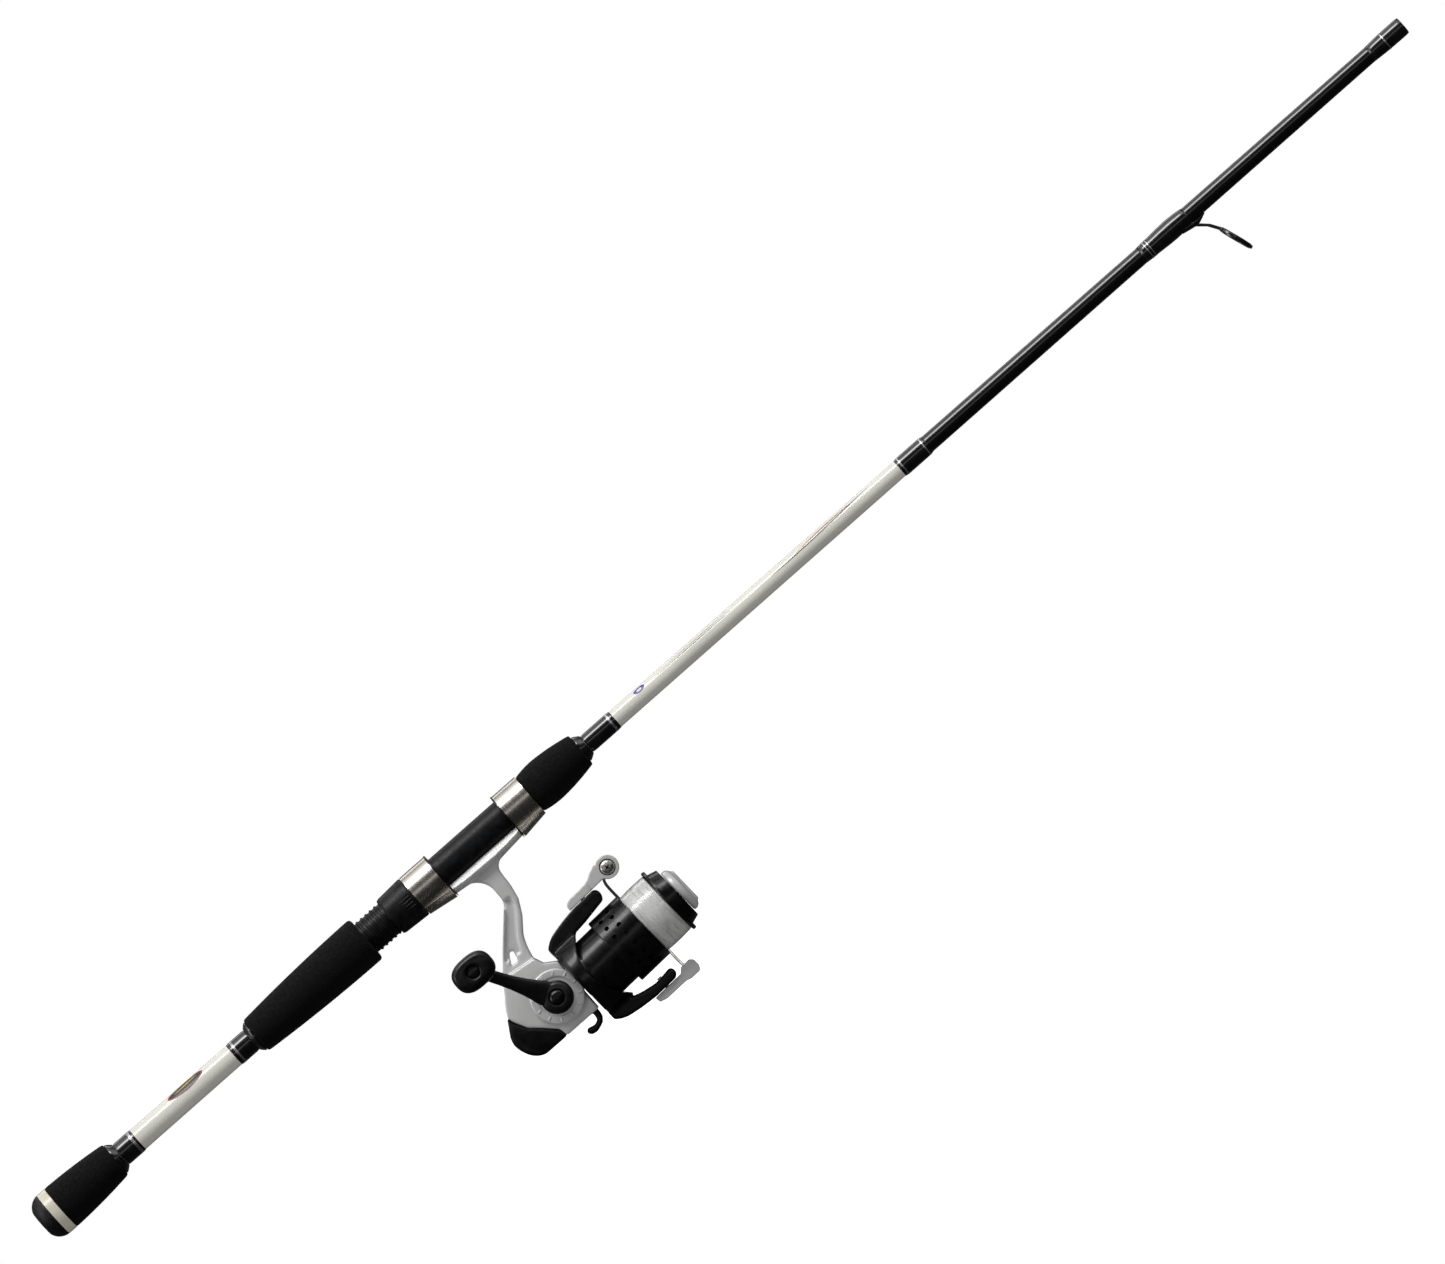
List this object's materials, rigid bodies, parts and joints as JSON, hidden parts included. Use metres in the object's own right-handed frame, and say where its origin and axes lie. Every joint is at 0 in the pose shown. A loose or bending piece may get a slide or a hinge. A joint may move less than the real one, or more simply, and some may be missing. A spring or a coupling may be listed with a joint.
{
  "type": "fishing rod and reel",
  "caption": "Butt section of a two-piece spinning rod with foam grips, a threaded reel seat, a line guide and an open-face spinning reel with crank and bail.",
  "frame": {"origin": "on the rod's axis, in the butt's end face", "axes": "+X along the rod from butt to ferrule, -Z from the rod to the reel, -Y the crank's side"},
  "size_m": [0.927, 0.1305, 0.1384],
  "materials": {
    "eva_foam": "matte fine-grained foam",
    "butt_rubber": "satin",
    "cream_plastic": "gloss",
    "blank_paint": "gloss lacquer, white near the grips and black towards the tip",
    "black_epoxy": "high gloss over thread",
    "silver_thread": "metallic thread under gloss",
    "seat_nylon": "satin moulded",
    "stainless": "brushed",
    "bright_steel": "polished",
    "guide_black": "satin black",
    "ceramic": "polished ceramic",
    "pearl_silver": "pearl paint, gloss",
    "black_plastic": "gloss moulded",
    "crank_metal": "semi-gloss black",
    "knob_rubber": "soft satin",
    "gear_zinc": "as cast",
    "pinion_brass": "machined",
    "shaft_steel": "ground",
    "nylon_line": "translucent monofilament",
    "drag_felt": "felt"
  },
  "bodies": {
    "rod": {"blank": "blank_paint", "butt_cap": "butt_rubber", "butt_ring": "cream_plastic", "rear_grip": "eva_foam", "mid_grip": "eva_foam", "fore_grip": "eva_foam", "grip_wraps": "black_epoxy", "blank_wraps": "black_epoxy", "winding_checks": "black_epoxy", "trim_threads": "silver_thread", "reel_seat": "seat_nylon", "seat_arbors": "seat_nylon", "fixed_hood": "stainless", "guide_frame": "guide_black", "guide_ring": "ceramic", "reel_body": "pearl_silver", "side_cover": "pearl_silver", "rear_cover": "black_plastic", "case_screws": "bright_steel", "spare_crank_cap": "black_plastic", "crank_bezel": "black_plastic", "front_housing": "black_plastic", "pinion_bearing": "bright_steel", "one_way_clutch": "bright_steel", "crank_bearings": "bright_steel", "oscillation_post": "shaft_steel", "antireverse_pin": "shaft_steel"},
    "slider_hood": {"sliding_hood": "stainless"},
    "nut": {"lock_nut": "seat_nylon"},
    "crank": {"crank_axle": "shaft_steel", "crank_collar": "crank_metal", "crank_arm": "crank_metal", "crank_cap": "black_plastic", "knob_pin": "shaft_steel", "main_gear": "gear_zinc", "slider_drive_gear": "gear_zinc"},
    "knob": {"crank_knob": "knob_rubber", "knob_cap": "black_plastic"},
    "rotor": {"rotor": "black_plastic", "pinion_gear": "pinion_brass", "clutch_sleeve": "shaft_steel", "rotor_nut": "pinion_brass", "bail_pivot_screws": "bright_steel", "bail_spring": "shaft_steel"},
    "bail": {"roller_arm": "pearl_silver", "far_lever": "pearl_silver", "bail_wire": "bright_steel", "wire_holder": "bright_steel"},
    "roller": {"line_roller": "bright_steel"},
    "oscillation_wheel": {"oscillation_gear": "seat_nylon"},
    "shaft": {"main_shaft": "shaft_steel", "oscillation_slider": "gear_zinc"},
    "spool": {"spool": "black_plastic", "line_winding": "nylon_line", "click_ratchet": "seat_nylon", "drag_washers": "drag_felt"},
    "drag": {"drag_knob": "pearl_silver", "drag_nut": "pinion_brass", "drag_spring": "shaft_steel"},
    "antireverse": {"antireverse_lever": "black_plastic"}
  },
  "joints": [
    {"name": "hood_slide", "type": "slide", "parent": "rod", "child": "slider_hood", "axis": [1, 0, 0], "range_m": [-0.016, 0]},
    {"name": "lock_nut_turn", "type": "hinge", "parent": "slider_hood", "child": "nut", "pos_m": [0.2453, 0, 0], "axis": [1, 0, 0], "range_deg": [-1921, 1]},
    {"name": "crank_turn", "type": "hinge", "parent": "rod", "child": "crank", "pos_m": [0.2749, 0, -0.0866], "axis": [0, 1, 0], "continuous": true},
    {"name": "knob_spin", "type": "hinge", "parent": "crank", "child": "knob", "pos_m": [0.2527, 0, -0.04861], "axis": [0, 1, 0], "continuous": true},
    {"name": "rotor_spin", "type": "hinge", "parent": "rod", "child": "rotor", "pos_m": [0.2877, 0, -0.0904], "axis": [0.999, 0, 0.0454], "continuous": true},
    {"name": "bail_flip", "type": "hinge", "parent": "rotor", "child": "bail", "pos_m": [0.31867, 0, -0.08899], "axis": [0.0454, 0, -0.999], "range_deg": [0, 110]},
    {"name": "line_roller_spin", "type": "hinge", "parent": "bail", "child": "roller", "pos_m": [0.3375, 0, -0.0539], "axis": [0, 1, 0], "continuous": true},
    {"name": "oscillation_wheel_turn", "type": "hinge", "parent": "rod", "child": "oscillation_wheel", "pos_m": [0.26157, 0, -0.09347], "axis": [0, 1, 0], "continuous": true},
    {"name": "spool_oscillation", "type": "slide", "parent": "rod", "child": "shaft", "axis": [0.999, 0, 0.0454], "range_m": [-0.012, 0]},
    {"name": "spool_drag_spin", "type": "hinge", "parent": "shaft", "child": "spool", "pos_m": [0.33765, 0, -0.08813], "axis": [0.999, 0, 0.0454], "continuous": true},
    {"name": "drag_knob_turn", "type": "hinge", "parent": "shaft", "child": "drag", "pos_m": [0.35763, 0, -0.08722], "axis": [0.999, 0, 0.0454], "range_deg": [-90, 720]},
    {"name": "antireverse_switch", "type": "hinge", "parent": "rod", "child": "antireverse", "pos_m": [0.2837, 0, -0.1036], "axis": [1, 0, 0], "range_deg": [0, 40]}
  ],
  "couplings": [
    {"joint": "lock_nut_turn", "follows": "hood_slide", "rad_per_m": 2094.4},
    {"joint": "rotor_spin", "follows": "crank_turn", "ratio": 5},
    {"joint": "oscillation_wheel_turn", "follows": "crank_turn", "ratio": -1}
  ]
}
